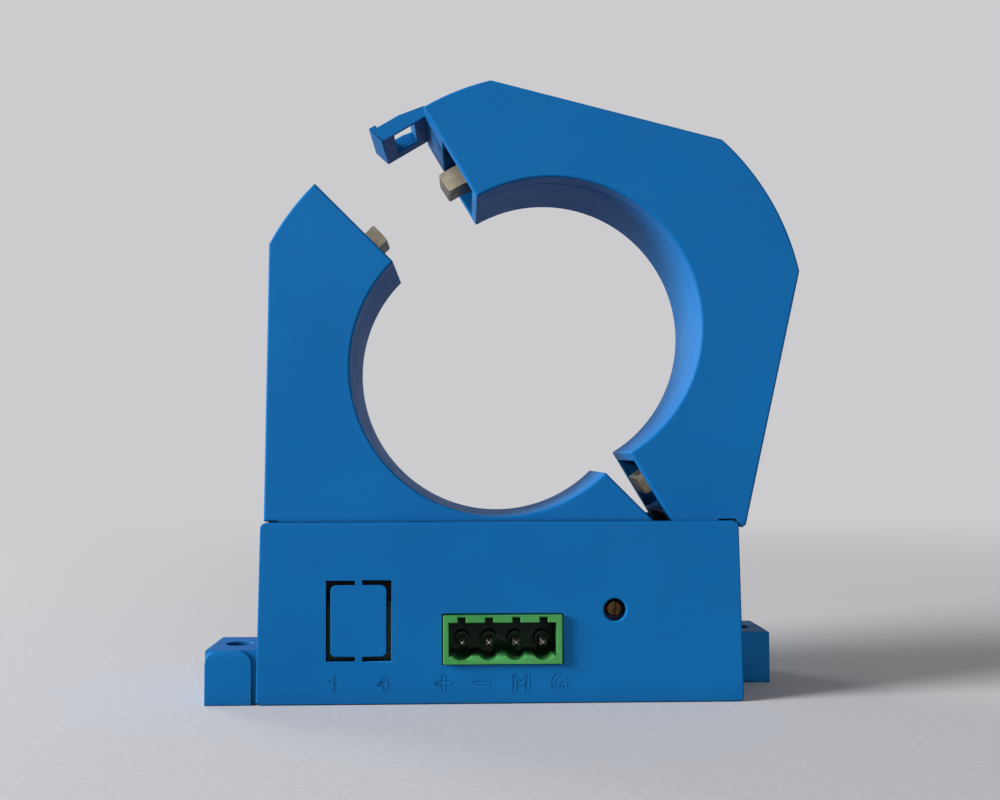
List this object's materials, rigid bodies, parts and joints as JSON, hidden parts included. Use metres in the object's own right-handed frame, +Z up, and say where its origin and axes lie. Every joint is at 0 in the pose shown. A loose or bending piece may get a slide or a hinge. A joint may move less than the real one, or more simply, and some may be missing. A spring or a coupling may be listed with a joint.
{
  "type": "dc leakage current sensor",
  "caption": "Split-core leakage current sensor: hinged clip-on ring on a box base with a plug-in terminal, trimmer hole and side fixing ears; shown swung open.",
  "frame": {"origin": "centre of the base's underside, midway between its front and rear faces", "axes": "+Z up through the bore's centre, front face towards -Y, hinge side towards +X"},
  "size_m": [0.0846, 0.0273, 0.0888],
  "materials": {
    "blue_case": "satin moulded polycarbonate",
    "core_sheet": "varnished lamination stack",
    "former_plastic": "moulded black nylon",
    "enamel_copper": "enamelled copper wire",
    "steel": "turned steel",
    "board_laminate": "solder-masked glass laminate",
    "green_plastic": "moulded green polyamide",
    "tinned_pin": "tinned brass",
    "trimmer_plastic": "moulded thermoset",
    "brass": "turned brass",
    "chip_plastic": "moulded epoxy",
    "can_aluminium": "drawn can"
  },
  "bodies": {
    "base": {"base_front_shell": "blue_case", "base_rear_shell": "blue_case", "fixed_ring_tray": "blue_case", "fixed_ring_cover": "blue_case", "hinge_pin": "steel", "circuit_board": "board_laminate", "terminal_header": "green_plastic", "terminal_pin_1": "tinned_pin", "terminal_pin_2": "tinned_pin", "terminal_pin_3": "tinned_pin", "terminal_pin_4": "tinned_pin", "trimmer_body": "trimmer_plastic", "trimmer_leads": "tinned_pin", "amplifier_chip": "chip_plastic", "filter_capacitor": "can_aluminium", "housing_screws": "steel"},
    "moving_ring": {"moving_ring_tray": "blue_case", "moving_ring_cover": "blue_case"},
    "fixed_core": {"fixed_core": "core_sheet", "fixed_coil_former": "former_plastic", "fixed_winding": "enamel_copper"},
    "moving_core": {"moving_core": "core_sheet", "moving_coil_former": "former_plastic", "moving_winding": "enamel_copper"},
    "trimmer_screw": {"trimmer_screw": "brass"}
  },
  "joints": [
    {"name": "ring_hinge", "type": "hinge", "parent": "base", "child": "moving_ring", "pos_m": [0.0276, 0, 0.0198], "axis": [0, -1, 0], "range_deg": [0, 14.3]},
    {"name": "fixed_core_rock", "type": "hinge", "parent": "base", "child": "fixed_core", "pos_m": [0.0276, 0, 0.0198], "axis": [0, -1, 0], "range_deg": [0, 1.91]},
    {"name": "moving_core_rock", "type": "hinge", "parent": "moving_ring", "child": "moving_core", "pos_m": [0.0276, 0, 0.0198], "axis": [0, 1, 0], "range_deg": [0, 2.13]},
    {"name": "trimmer_turn", "type": "hinge", "parent": "base", "child": "trimmer_screw", "pos_m": [0.016, -0.0109, 0.0129], "axis": [0, -1, 0], "continuous": true}
  ],
  "couplings": [
    {"joint": "fixed_core_rock", "follows": "ring_hinge", "ratio": 0.13371},
    {"joint": "moving_core_rock", "follows": "ring_hinge", "ratio": 0.14909}
  ]
}
